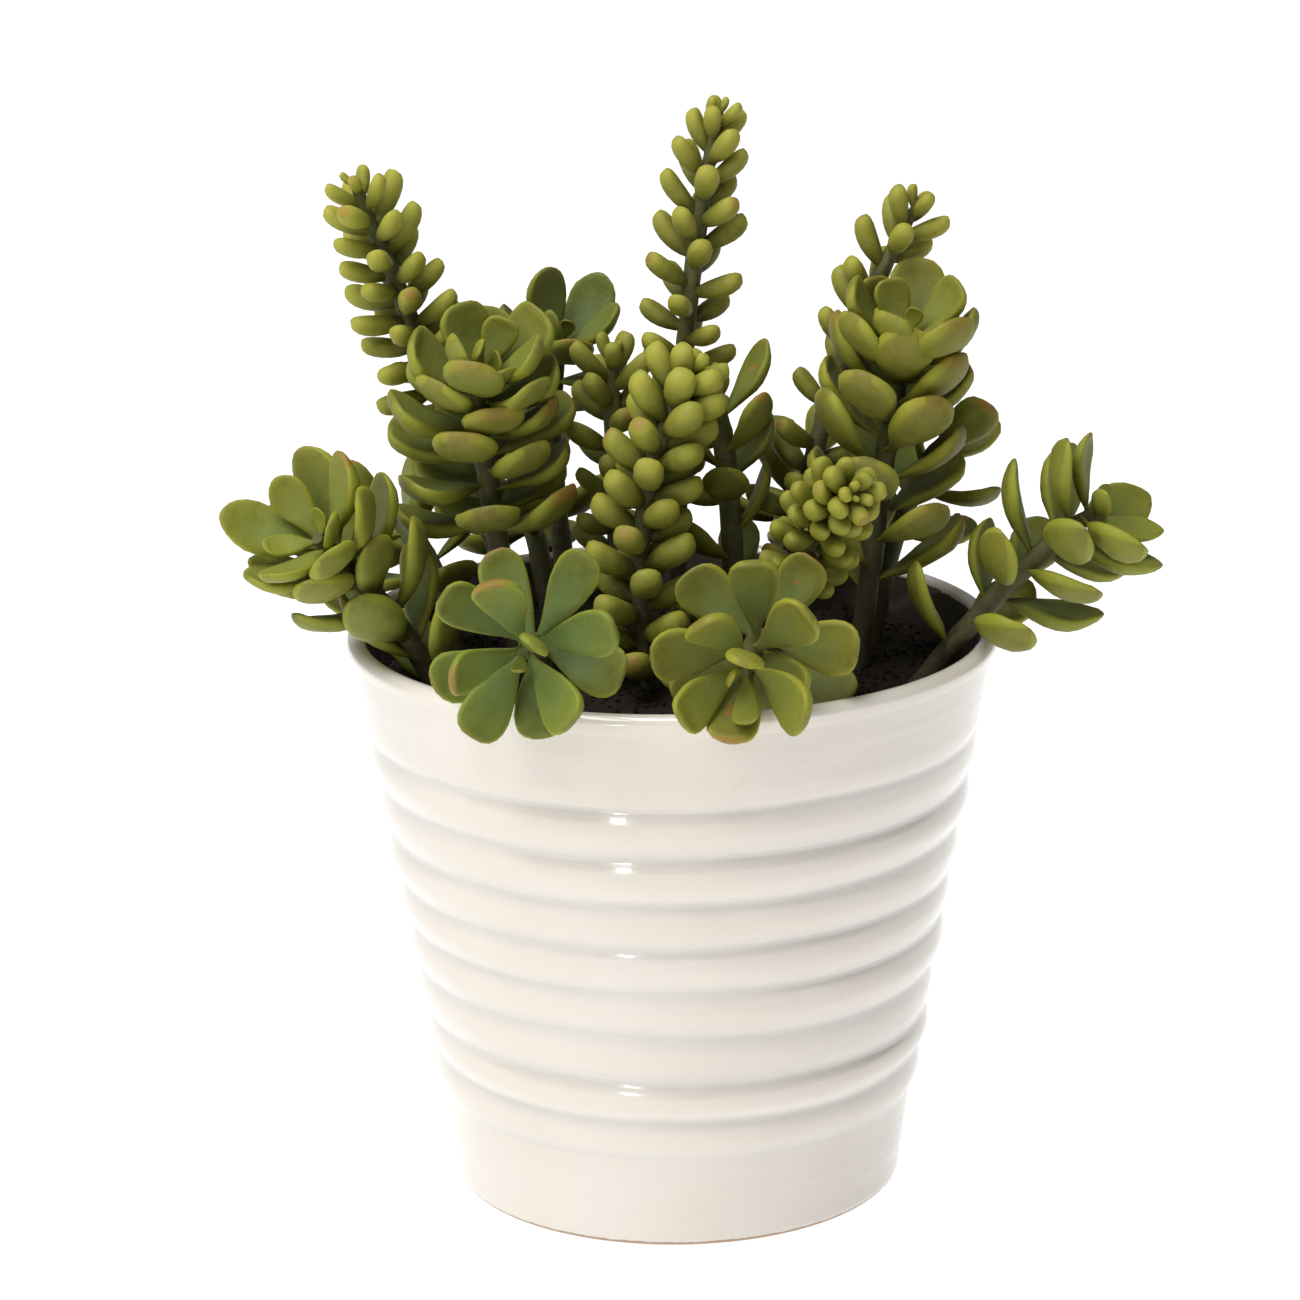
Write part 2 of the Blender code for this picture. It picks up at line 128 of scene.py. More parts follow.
class Finish:
    """A node material under construction. Lengths in it are in millimetres."""

    def __init__(self, name, **constants):
        self.material = bpy.data.materials.new(name)
        self.material.use_nodes = True
        self.tree = self.material.node_tree
        self.shader = self.tree.nodes["Principled BSDF"]
        for socket, value in constants.items():
            self.shader.inputs[socket.replace("_", " ")].default_value = value
        place = self.node("ShaderNodeTexCoord", output="Object")
        scaled = {0: place, "Scale": 1 / MM}
        self.place = self.node("ShaderNodeVectorMath", {"operation": "SCALE"}, scaled)

    def node(self, kind, settings=None, sockets=None, output=0):
        made = self.tree.nodes.new(kind)
        for key, value in (settings or {}).items():
            setattr(made, key, value)
        for key, value in (sockets or {}).items():
            self.plug(made.inputs[key], value)
        return Link(self, made.outputs[output])

    def plug(self, socket, value):
        if isinstance(value, Link):
            self.tree.links.new(value.socket, socket)
        else:
            socket.default_value = value

    def attribute(self, name):
        return self.node("ShaderNodeAttribute", {"attribute_name": name}, output="Fac")

    def speckle(self, size, detail=3.0, roughness=0.5, stretch=(1, 1, 1)):
        """Noise from 0 to 1 whose blotches are about `size` millimetres."""
        place = self.node(
            "ShaderNodeVectorMath", {"operation": "MULTIPLY"}, {0: self.place, 1: stretch}
        )
        sockets = {"Vector": place, "Scale": 1 / size, "Detail": detail, "Roughness": roughness}
        return self.node("ShaderNodeTexNoise", {}, sockets)

    def ease(self, value, low, high):
        """0 below low and 1 above high, with a soft step between."""
        sockets = {"Value": value, "From Min": low, "From Max": high}
        return self.node("ShaderNodeMapRange", {"interpolation_type": "SMOOTHSTEP"}, sockets)

    def blend(self, factor, first, second):
        """The first colour where factor is 0, the second where it is 1."""
        first = first if isinstance(first, Link) else (*first, 1.0)
        second = second if isinstance(second, Link) else (*second, 1.0)
        sockets = {0: factor, 6: first, 7: second}
        return self.node("ShaderNodeMix", {"data_type": "RGBA"}, sockets, output=2)

    def surface(self, colour, roughness, height=None, depth=0.0):
        """Joins colour, roughness and a bump `depth` millimetres deep to the shader."""
        self.plug(self.shader.inputs["Base Color"], colour)
        self.plug(self.shader.inputs["Roughness"], roughness)
        if height:
            sockets = {"Height": height, "Distance": depth * MM}
            bump = self.node("ShaderNodeBump", {}, sockets)
            self.plug(self.shader.inputs["Normal"], bump)
        return self.material


def wall_radius(z):
    """The outer wall's radius in its grooves, flaring a little faster near the rim."""
    return FOOT_RADIUS + (RIM_RADIUS - GROOVE_DEPTH - FOOT_RADIUS) * (z / POT_HEIGHT) ** FLARE


def rib_share(z, around=0.0):
    """How far z stands up its rib: 0 in a groove, 1 on the crest; the plain bands give None.

    Each rib has its own strength, and swells and fades a little round the pot.
    """
    for number, (low, high) in enumerate(zip(GROOVES, GROOVES[1:])):
        if low <= z <= high:
            swell = 1 + RIB_SWELL * math.sin(around + RIB_TURN * number)
            swell += RIB_RIPPLE * math.sin(3 * around + number)
            rise = math.sin(math.pi * (z - low) / (high - low))
            return min(STRONGEST_RIB, RIB_STRENGTHS[number] * swell) * rise
    return None


def thrown_radius(z, around=0.0):
    """The outer wall's radius with its ribs and the plain bands above and below them."""
    share = rib_share(z, around)
    if share is not None:
        return wall_radius(z) + RIB_RISE * share
    if z > GROOVES[-1]:
        rise = min(1.0, (z - GROOVES[-1]) / FLOOR_ROUND)
        return wall_radius(z) + BAND_RISE * rise * (2 - rise)
    return wall_radius(z)


def pot_section():
    """The pot's section from the middle of its underside, up the wall and down inside."""
    section = [(0, 0), (FOOT_RADIUS - FOOT_RING, 0), (FOOT_RADIUS - FOOT_CHAMFER - FOOT_EDGE, 0)]
    for step in range(FOOT_STEPS + 1):
        angle = math.pi / 2 * step / FOOT_STEPS
        radius = FOOT_RADIUS - FOOT_CHAMFER * (1 - math.sin(angle))
        section.append((radius, FOOT_CHAMFER * (1 - math.cos(angle))))
    wall_top = POT_HEIGHT - LIP_ROUND - BELOW_LIP
    for z in np.arange(FOOT_CHAMFER + WALL_STEP, wall_top, WALL_STEP):
        section.append((thrown_radius(z), z))
    for step in range(LIP_STEPS + 1):
        angle = math.pi * step / LIP_STEPS
        radius = RIM_RADIUS - LIP_ROUND * (1 - math.cos(angle))
        section.append((radius, POT_HEIGHT - LIP_ROUND * (1 - math.sin(angle))))
    for z in np.arange(INNER_TOP, FLOOR + FLOOR_ROUND, -INNER_STEP):
        section.append((wall_radius(z) - WALL, z))
    for step in range(FLOOR_STEPS + 1):
        angle = math.pi / 2 * step / FLOOR_STEPS
        radius = wall_radius(FLOOR + FLOOR_ROUND) - WALL - FLOOR_ROUND * (1 - math.cos(angle))
        section.append((radius, FLOOR + FLOOR_ROUND * (1 - math.sin(angle))))
    section.append((0, FLOOR))
    return section


def spun(section, sides):
    """A bmesh turned about Z from (radius, z) points that start and end on the axis."""
    work = bmesh.new()
    line = [work.verts.new((radius, 0, z)) for radius, z in section]
    edges = [work.edges.new(pair) for pair in zip(line, line[1:])]
    bmesh.ops.spin(
        work, geom=line + edges, cent=(0, 0, 0), axis=(0, 0, 1), angle=2 * math.pi,
        steps=sides, use_merge=True,
    )
    bmesh.ops.remove_doubles(work, verts=work.verts, dist=0.02)
    return work


def placed(name, data):
    """A new object of the scene that shows this mesh, curve, lamp or camera."""
    thing = bpy.data.objects.new(name, data)
    bpy.context.scene.collection.objects.link(thing)
    return thing


def from_lowest(corners):
    """A face's corners, counted from the lowest one."""
    start = corners.index(min(corners))
    return corners[start:] + corners[:start]


def finished(name, work, marks=None):
    """A smooth object from a bmesh in millimetres; marks maps an attribute to its values.

    Its faces are put in a fixed order, because what is strewn over them depends on it.
    """
    bmesh.ops.scale(work, vec=(MM, MM, MM), verts=work.verts)
    bmesh.ops.recalc_face_normals(work, faces=work.faces)
    work.verts.index_update()
    faces = sorted(from_lowest([vert.index for vert in face.verts]) for face in work.faces)
    mesh = bpy.data.meshes.new(name)
    mesh.from_pydata([vert.co for vert in work.verts], [], faces)
    work.free()
    mesh.shade_smooth()
    for key, values in (marks or {}).items():
        mesh.attributes.new(key, "FLOAT", "POINT").data.foreach_set("value", values)
    return placed(name, mesh)


def cream_glaze():
    """Glossy cream glaze with painted shade and reflection in the grooves, bare at the foot,
    painted dark inside as shade.
    """
    finish = Finish("cream_glaze", Coat_Weight=0.6, Coat_Roughness=0.04, IOR=1.52)
    pooled = finish.attribute("pooled")
    bare = finish.attribute("bare")
    stained = finish.attribute("stained")
    clouds = finish.speckle(26, 2.0)
    fired = finish.speckle(1.6, 4.0)
    colour = finish.blend(clouds, CREAM, DEEP_CREAM)
    # Painted shade and reflection: a cooler, darker tint in the grooves and plain bands.
    colour = finish.blend(pooled * (0.25 + clouds * 0.5), colour, GROOVE_SHADE_TINT)
    pin = finish.ease(finish.speckle(0.9, 1.0), 0.72, 0.78) * 0.35
    colour = finish.blend(pin, colour, PINHOLE)
    clay = finish.blend(fired, BARE_CLAY, PALE_CLAY)
    edge = finish.ease(bare + (fired - 0.5) * 0.5, 0.35, 0.65)
    colour = finish.blend(edge, colour, clay)
    # Painted shade: the inner wall below the lip is darkened almost to black.
    inner_shade = finish.ease(stained + (fired - 0.5) * 0.35 + (clouds - 0.5) * 0.3, 0.35, 0.6)
    colour = finish.blend(inner_shade, colour, INNER_WALL_SHADE)
    roughness = 0.13 + clouds * 0.07 + pin * 0.4 + edge * 0.6 + inner_shade * 0.6
    throwing = finish.speckle(9, 1.0, 0.4, stretch=(0.2, 0.2, 2.5))
    height = finish.speckle(14, 1.0) + throwing * 0.8 + fired * edge * 0.6 - pin * 0.3
    return finish.surface(colour, roughness, height, 0.35)


def drift(z, around):
    """How far the thrower's hand strayed up or down at this place on the wall."""
    slow = math.sin(around + 0.05 * z) + 0.7 * math.sin(2 * around - 0.11 * z + 1.9)
    return THROWING_WOBBLE * (slow + 0.35 * math.sin(5 * around + 0.4 * z))


def clipped(share):
    return max(0.0, min(1.0, share))


def throw_wall(work):
    """Gives the outer wall its uneven ribs, and marks painted shade in the grooves, bare clay and
    painted shade on the inner wall.
    """
    marks = {"pooled": [], "bare": [], "stained": []}
    for vert in work.verts:
        x, y, z = vert.co
        radius, around = math.hypot(x, y), math.atan2(y, x)
        outside = radius > wall_radius(z) - WALL / 2
        groove_shading = 0.0
        if outside and FOOT_CHAMFER < z < THROWN_TOP:
            calm = min(1.0, (z - FOOT_CHAMFER) / CALM_OVER, (THROWN_TOP - z) / CALM_OVER)
            thrown = z + drift(z, around) * calm
            wanted = thrown_radius(thrown, around)
            wanted += HAND_RIPPLE * calm * math.sin(3 * around + 0.21 * z)
            vert.co.x *= wanted / radius
            vert.co.y *= wanted / radius
            share = rib_share(thrown, around)
            # The grooves, and faintly the plain bands, are marked for painted shade and
            # reflection.
            groove_shading = PLAIN_BAND_SHADE if share is None else max(0.0, 1 - GROOVE_SHADE_FALL * share)
        inside = z > FLOOR and radius < wall_radius(z) - WALL / 2
        marks["pooled"].append(groove_shading)
        marks["bare"].append(clipped(1 - (z - WIPED_HEIGHT) / WIPED_FADE))
        # The inner wall from just below the lip downwards is marked for painted shade.
        marks["stained"].append(clipped((POT_HEIGHT - z) / INNER_SHADE_DEPTH) if inside else 0.0)
    return marks


work = spun(pot_section(), POT_SIDES)
marks = throw_wall(work)
pot = finished("glazed_pot", work, marks)
pot.data.materials.append(cream_glaze())
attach(pot, "root")
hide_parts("pot")

# Soil. Dark, peaty potting mix, pressed round the stems to a centimetre below the lip, with
# loose crumbs of bark and grit strewn over its clods.

SOIL_LEVEL = 113.5
SOIL_MOUND = 3.0
SOIL_LUMP = 0.4
SOIL_SIDES = 96
SOIL_RINGS = 34
GAP = 0.45
EDGE_DROP = 2.5
EDGE_FADE = 4
CLOD_SCALE = 0.16
CLOD_RISE = 0.55
CLOD_AT_EDGE = 0.3
CRUMBS_PER_M2 = 130000.0
CRUMB_RADIUS = 0.95
CRUMB_LEVEL = 0.8
SMALLEST_CRUMB = (0.35, 0.35, 0.3)
LARGEST_CRUMB = (1.5, 1.1, 0.8)
ANY_TURN = (6.28, 6.28, 6.28)
BLACK_PEAT = (0.005, 0.0035, 0.0025)
BROWN_PEAT = (0.030, 0.020, 0.012)
BARK_CRUMB = (0.045, 0.032, 0.02)


def soil_height(rho):
    """The soil's surface, highest in the middle."""
    return SOIL_LEVEL + SOIL_MOUND * max(0.0, 1 - (rho / (RIM_RADIUS - WALL)) ** 2)


class Tree:
    """A geometry node tree with named inputs, built node by node."""

    def __init__(self, name, inputs):
        self.tree = bpy.data.node_groups.new(name, "GeometryNodeTree")
        face = self.tree.interface
        face.new_socket("Geometry", in_out="OUTPUT", socket_type="NodeSocketGeometry")
        face.new_socket("Geometry", in_out="INPUT", socket_type="NodeSocketGeometry")
        self.keys = {}
        for label, kind in inputs.items():
            made = face.new_socket(label, in_out="INPUT", socket_type="NodeSocket" + kind)
            self.keys[label] = made.identifier
        self.start = self.tree.nodes.new("NodeGroupInput")
        self.end = self.tree.nodes.new("NodeGroupOutput")

    def given(self, label):
        return self.start.outputs[label]

    def node(self, kind, settings=None, sockets=None, output=0):
        """A new node; a list in sockets links each of its values to the same socket."""
        made = self.tree.nodes.new(kind)
        for key, value in (settings or {}).items():
            setattr(made, key, value)
        for key, value in (sockets or {}).items():
            for one in value if isinstance(value, list) else [value]:
                if isinstance(one, bpy.types.NodeSocket):
                    self.tree.links.new(one, made.inputs[key])
                else:
                    made.inputs[key].default_value = one
        return made.outputs[output]

    def jitter(self, place, size, amount, seed):
        """A vector that varies softly over blotches of `size`, up to about `amount` long."""
        sockets = {"Vector": place, "W": seed, "Scale": 1 / size, "Detail": 1.0}
        cloud = self.node("ShaderNodeTexNoise", {"noise_dimensions": "4D"}, sockets, "Color")
        middle = {0: cloud, 1: (0.5, 0.5, 0.5)}
        shift = self.node("ShaderNodeVectorMath", {"operation": "SUBTRACT"}, middle)
        scaled = {0: shift, "Scale": amount}
        return self.node("ShaderNodeVectorMath", {"operation": "SCALE"}, scaled)

    def grow(self, thing, **values):
        """Runs the tree on an object and leaves the result there as a plain mesh."""
        rule = thing.modifiers.new(self.tree.name, "NODES")
        rule.node_group = self.tree
        for label, value in values.items():
            rule[self.keys[label.replace("_", " ")]] = value
        bpy.context.view_layer.update()
        graph = bpy.context.evaluated_depsgraph_get()
        mesh = bpy.data.meshes.new_from_object(thing.evaluated_get(graph))
        thing.modifiers.clear()
        mesh.name = thing.name
        thing.data = mesh
        return thing


def crumb_tree():
    """Loose crumbs of mixed size on every face that looks up, joined to the soil."""
    crumbs = Tree("crumbs", {"Density": "Float", "Radius": "Float", "Finish": "Material"})
    normal = crumbs.node("GeometryNodeInputNormal")
    level = crumbs.node("ShaderNodeSeparateXYZ", {}, {0: normal}, "Z")
    upward = crumbs.node(
        "FunctionNodeCompare", {"operation": "GREATER_THAN"}, {"A": level, "B": CRUMB_LEVEL}
    )
    spots = crumbs.node(
        "GeometryNodeDistributePointsOnFaces", {},
        {"Mesh": crumbs.given("Geometry"), "Selection": upward,
         "Density": crumbs.given("Density"), "Seed": 7},
    )
    grain = crumbs.node(
        "GeometryNodeMeshIcoSphere", {}, {"Radius": crumbs.given("Radius"), "Subdivisions": 1}
    )
    turn = crumbs.node(
        "FunctionNodeRandomValue", {"data_type": "FLOAT_VECTOR"},
        {"Min": (0, 0, 0), "Max": ANY_TURN, "Seed": 3},
    )
    size = crumbs.node(
        "FunctionNodeRandomValue", {"data_type": "FLOAT_VECTOR"},
        {"Min": SMALLEST_CRUMB, "Max": LARGEST_CRUMB, "Seed": 11},
    )
    laid = crumbs.node(
        "GeometryNodeInstanceOnPoints", {},
        {"Points": spots, "Instance": grain, "Rotation": turn, "Scale": size},
    )
    real = crumbs.node("GeometryNodeRealizeInstances", {}, {"Geometry": laid})
    place = crumbs.node("GeometryNodeInputPosition")
    offset = crumbs.jitter(place, 0.8 * MM, 0.9 * MM, 2.0)
    rough = crumbs.node("GeometryNodeSetPosition", {}, {"Geometry": real, "Offset": offset})
    both = [crumbs.given("Geometry"), rough]
    joined = crumbs.node("GeometryNodeJoinGeometry", {}, {"Geometry": both})
    whole = crumbs.node("GeometryNodeRealizeInstances", {}, {"Geometry": joined})
    dressed = crumbs.node(
        "GeometryNodeSetMaterial", {}, {"Geometry": whole, "Material": crumbs.given("Finish")}
    )
    crumbs.tree.links.new(dressed, crumbs.end.inputs[0])
    return crumbs


def peat():
    """Nearly black peat with brown fibres and a few paler grains, quite matt."""
    finish = Finish("potting_mix", Specular_IOR_Level=0.25)
    grain = finish.speckle(1.4, 5.0, 0.65)
    patch = finish.speckle(9, 2.0)
    colour = finish.blend(grain, BLACK_PEAT, BROWN_PEAT)
    colour = finish.blend(finish.ease(patch, 0.55, 0.75) * 0.5, colour, BARK_CRUMB)
    return finish.surface(colour, 0.85 + grain * 0.12, grain, 0.5)


clear = WALL + 2 * GAP
edge = wall_radius(SOIL_LEVEL) - clear
section = [(0, FLOOR + GAP), (wall_radius(FLOOR) - clear - FLOOR_ROUND, FLOOR + GAP)]
section.append((wall_radius(FLOOR + FLOOR_ROUND) - clear, FLOOR + FLOOR_ROUND + GAP))
section.append((edge, soil_height(edge) - EDGE_DROP))
for ring in range(SOIL_RINGS, 0, -1):
    rho = edge * ring / SOIL_RINGS
    section.append((rho, soil_height(rho)))
section.append((0, soil_height(0)))
work = spun(section, SOIL_SIDES)
for vert in work.verts:
    x, y, z = vert.co
    if z > SOIL_LEVEL - 1:
        lump = math.sin(0.31 * x + 1.3) * math.cos(0.27 * y) + math.sin(0.17 * (x + y))
        clod = noise.fractal(Vector((x, y, 0)) * CLOD_SCALE, 1.0, 2.1, 4)
        fade = min(1.0, (edge - math.hypot(x, y)) / EDGE_FADE)
        settled = CLOD_AT_EDGE + (1 - CLOD_AT_EDGE) * fade
        vert.co.z += SOIL_LUMP * lump + CLOD_RISE * clod * settled
soil = finished("potting_soil", work)
crumb_tree().grow(soil, Density=CRUMBS_PER_M2, Radius=CRUMB_RADIUS * MM, Finish=peat())
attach(soil, "root")
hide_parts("soil")

# Leafy stems. Living stonecrop stems, planted in the soil: six with bead leaves, plump as
# jelly beans, and twelve with thick, spoon-shaped leaves in loose rosettes. Each leaf grows
# from the stem at the golden angle to the one before, and one that meets a neighbour bends.

PLANTED_DEPTH = 12.0

# `widen` and `close` shape the blade's outline, `arch` lifts its tip, `plump` is thickness over
# width, `cup` hollows the face and `keel` fills out the back. The first leaf has the size
# `youngest`, and leaves grow to full size over the share `grown_by` of them. `across` places the
# rows of balls that test where a leaf would touch, and `uneven` is how far its skin strays.
BEAD = {
    "widen": 0.72, "close": 0.34, "arch": 0.12, "plump": 0.9, "across": (0.0,),
    "youngest": 0.36, "grown_by": 0.16, "stem_radius": 2.0,
    "cup": 0.10, "keel": 1.04, "segments": 12, "rings": 10, "uneven": 0.8,
}
BROAD = {
    "widen": 1.4, "close": 0.42, "arch": 0.22, "plump": 0.46, "across": (-0.62, -0.2, 0.2, 0.62),
    "youngest": 0.34, "grown_by": 0.22, "stem_radius": 2.3,
    "cup": 0.9, "keel": 1.15, "segments": 16, "rings": 14, "uneven": 1.7,
}

NECK = 0.32
NECK_POWER = 6
ROOT_SUNK = 1.2
BLUNTNESS = 0.84
CUPPED_FROM = 0.2
CUPPED_OVER = 0.4
CUPPED_TO_TIP = 0.12
GOLDEN_ANGLE = 137.508
GROWTH_POWER = 0.8
TILT_POWER = 0.6
USUAL_CROWDING = 1.2
UNEVEN_TURN = 7.0
UNEVEN_TILT = 6.0
UNEVEN_LENGTH = 0.09
UNEVEN_WIDTH = 0.07
FIRST_SEED = 100
PATH_STEPS = 48
BALLS_ALONG = (0.3, 0.45, 0.6, 0.75, 0.88, 0.96)
CLEARANCE = 1.2
REACH = 34.0
STEM_STEPS = 28
THINS_FROM = 22
TIP_THINNING = 0.5
STEM_SIDES = 12
UNEVEN_OVER = 9
KNOB_SIZE = 3.2
KNOB_RISE = 0.9
LESS_BLUE = (1.0, 1.0, 0.6)
SAP_GLOW = (1.0, 0.9, 0.25)
BEAD_RUST = (0.30, 0.13, 0.04)
TIP_RUST = (0.32, 0.14, 0.03)
SPOT_RUST = (0.36, 0.16, 0.04)

# The turn, lean and scale that a leaf tries in this order until it is clear of its neighbours.
TRIES = (
    (0, 0, 1.0), (0, -12, 1.0), (14, 0, 1.0), (-14, 0, 1.0), (0, 14, 1.0), (16, -14, 0.95),
    (-16, -14, 0.95), (0, -24, 0.95), (26, 6, 0.92), (-26, 6, 0.92), (0, -12, 0.8),
    (20, -24, 0.85), (-20, -24, 0.85), (0, -30, 0.8), (0, 0, 0.7), (0, -20, 0.65),
)

# Foot (x, y), bend and tip (x, y, z). Leaves count down from the tip over `span` of the stem, and
# `crowd` draws them towards the tip. `leaf` is a grown leaf's length and width, `tilt` its angle
# off the stem when young and old, `phase` the first leaf's place round the stem, `turn` the
# spiral's way round, and `green` its colour. `close` stands in for the kind's own.
STEMS = {
    "rosette_front_left": {
        "kind": BROAD, "foot": (-27, -36), "bend": (-26, -44, 139), "tip": (-30, -69, 137),
        "count": 13, "span": 0.40, "leaf": (22.5, 10.5), "tilt": (25, 90), "phase": 260,
        "crowd": 1.8, "green": (0.14, 0.175, 0.045),
    },
    "rosette_front_right": {
        "kind": BROAD, "foot": (16, -37), "bend": (22, -30, 142), "tip": (14, -70, 133),
        "count": 18, "span": 0.45, "leaf": (21.5, 11), "tilt": (25, 100), "phase": 150,
        "crowd": 1.6, "green": (0.17, 0.18, 0.04),
    },
    "bead_spike_front": {
        "kind": BEAD, "foot": (-2, -24), "bend": (-14, -26, 152), "tip": (5, -19, 184),
        "count": 46, "span": 0.85, "leaf": (12.5, 6.5), "tilt": (50, 75), "phase": 55,
        "turn": -1, "crowd": 1.3, "green": (0.22, 0.22, 0.045),
    },
    "rosette_left_tall": {
        "kind": BROAD, "foot": (-30, -8), "bend": (-43, -8, 175), "tip": (-38, -20, 184),
        "count": 33, "span": 0.65, "leaf": (20.5, 13), "tilt": (30, 90), "phase": 20,
        "crowd": 1.0, "green": (0.165, 0.18, 0.045),
    },
    "rosette_right_tall": {
        "kind": BROAD, "foot": (38, -6), "bend": (48, -1, 181), "tip": (49, -9, 188),
        "count": 33, "span": 0.80, "leaf": (22, 12.5), "tilt": (45, 65), "phase": 60,
        "crowd": 1.0, "green": (0.175, 0.18, 0.045),
    },
    "rosette_low_left": {
        "kind": BROAD, "foot": (-42, -22), "bend": (-61, -18, 138), "tip": (-73, -34, 152),
        "count": 26, "span": 0.85, "leaf": (23, 11.5), "tilt": (55, 60), "phase": 40,
        "crowd": 1.6, "close": 0.6, "green": (0.185, 0.2, 0.045),
    },
    "branch_far_right": {
        "kind": BROAD, "foot": (44, -16), "bend": (71, -14, 140), "tip": (90, -19, 153),
        "count": 20, "span": 0.70, "leaf": (21.5, 12), "tilt": (70, 75), "phase": 100,
        "crowd": 1.4, "close": 0.7, "green": (0.165, 0.18, 0.04),
    },
    "bead_head_right": {
        "kind": BEAD, "foot": (24, -22), "bend": (26, -23, 156), "tip": (37, -49, 164),
        "count": 42, "span": 0.55, "leaf": (10, 4.5), "tilt": (30, 90), "phase": 265,
        "turn": -1, "crowd": 1.2, "green": (0.19, 0.19, 0.035),
    },
    "bead_spike_left": {
        "kind": BEAD, "foot": (-27, 8), "bend": (-49, 17, 172), "tip": (-66, 6, 219),
        "count": 44, "span": 0.50, "leaf": (12.5, 5), "tilt": (40, 90), "phase": 145,
        "crowd": 0.9, "green": (0.23, 0.23, 0.045),
    },
    "bead_spike_back": {
        "kind": BEAD, "foot": (2, 13), "bend": (-1, 12, 179), "tip": (11, 13, 232),
        "count": 46, "span": 0.70, "leaf": (12, 5), "tilt": (30, 85), "phase": 55,
        "crowd": 1.1, "green": (0.22, 0.215, 0.045),
    },
    "bead_spike_right": {
        "kind": BEAD, "foot": (20, 8), "bend": (29, 7, 173), "tip": (53, 8, 213),
        "count": 34, "span": 0.75, "leaf": (11.5, 5), "tilt": (30, 80), "phase": 20,
        "crowd": 1.2, "green": (0.21, 0.205, 0.04),
    },
    "bead_spike_middle": {
        "kind": BEAD, "foot": (-10, -1), "bend": (-13, 2, 155), "tip": (-12, 0, 183),
        "count": 26, "span": 0.70, "leaf": (11.5, 5), "tilt": (35, 80), "phase": 0,
        "crowd": 1.1, "green": (0.17, 0.17, 0.035),
    },
    "rosette_middle_right": {
        "kind": BROAD, "foot": (13, -5), "bend": (14, 2, 157), "tip": (9, -1, 175),
        "count": 16, "span": 0.8, "leaf": (18.5, 9.5), "tilt": (45, 70), "phase": 70,
        "turn": -1, "crowd": 1.1, "close": 0.6, "green": (0.15, 0.16, 0.04),
    },
    "rosette_back_left": {
        "kind": BROAD, "foot": (-20, 26), "bend": (-30, 37, 163), "tip": (-23, 24, 181),
        "count": 12, "span": 0.40, "leaf": (20, 10.5), "tilt": (20, 75), "phase": 85,
        "crowd": 1.4, "close": 0.6, "green": (0.13, 0.15, 0.045),
    },
    "rosette_right_back": {
        "kind": BROAD, "foot": (42, 16), "bend": (46, 16, 145), "tip": (60, 15, 161),
        "count": 10, "span": 0.55, "leaf": (19.5, 11), "tilt": (30, 90), "phase": 0,
        "crowd": 1.2, "green": (0.155, 0.17, 0.04),
    },
    "rosette_low_back_left": {
        "kind": BROAD, "foot": (-26, 40), "bend": (-29, 38, 138), "tip": (-36, 58, 142),
        "count": 12, "span": 0.50, "leaf": (19.5, 11.5), "tilt": (30, 95), "phase": 0,
        "crowd": 1.2, "green": (0.16, 0.175, 0.04),
    },
    "rosette_low_back_right": {
        "kind": BROAD, "foot": (22, 38), "bend": (24, 38, 140), "tip": (31, 58, 144),
        "count": 12, "span": 0.50, "leaf": (19.5, 11.5), "tilt": (30, 95), "phase": 0,
        "crowd": 1.2, "green": (0.165, 0.18, 0.045),
    },
    "rosette_left_back": {
        "kind": BROAD, "foot": (-46, 14), "bend": (-48, 16, 136), "tip": (-62, 24, 142),
        "count": 11, "span": 0.50, "leaf": (19.5, 11), "tilt": (30, 90), "phase": 0,
        "crowd": 1.2, "green": (0.17, 0.185, 0.045),
    },
}


def unit(vector):
    return vector / np.linalg.norm(vector)


def stem_path(stem, steps):
    """Points, tangents and a side direction along a stem, from its planted foot to its tip."""
    foot = np.array([*stem["foot"], soil_height(math.hypot(*stem["foot"])) - PLANTED_DEPTH])
    bend = np.array(stem["bend"], float)
    tip = np.array(stem["tip"], float)
    t = np.linspace(0, 1, steps + 1)[:, None]
    points = foot * (1 - t) ** 2 + 2 * bend * t * (1 - t) + tip * t**2
    tangents = 2 * (bend - foot) * (1 - t) + 2 * (tip - bend) * t
    tangents /= np.linalg.norm(tangents, axis=1)[:, None]
    side = unit(np.cross([0.0, 1.0, 0.0], tangents[0]))
    sides = []
    for tangent in tangents:
        side = unit(side - tangent * (side @ tangent))
        sides.append(side)
    return points, tangents, np.array(sides)


def leaf_outline(leaf, t):
    """Half-width as a share of the leaf's greatest half-width at t along it."""
    widen, close = leaf["widen"], leaf["close"]
    peak = widen / (widen + close)
    top = peak**widen * (1 - peak) ** close
    return max(t**widen * (1 - t) ** close / top, NECK * (1 - t) ** NECK_POWER)


def leaf_point(leaf, t, across, above):
    """A point of a leaf: t along it, across -1 to 1, above -1 (back) to 1 (face)."""
    half = leaf["width"] / 2 * leaf_outline(leaf, t)
    spine = leaf["root"] + t * leaf["length"] * leaf["along"]
    lift = leaf["arch"] * leaf["length"] * t**2 + half * leaf["plump"] * above
    return spine + lift * leaf["face"] + half * across * leaf["side"]


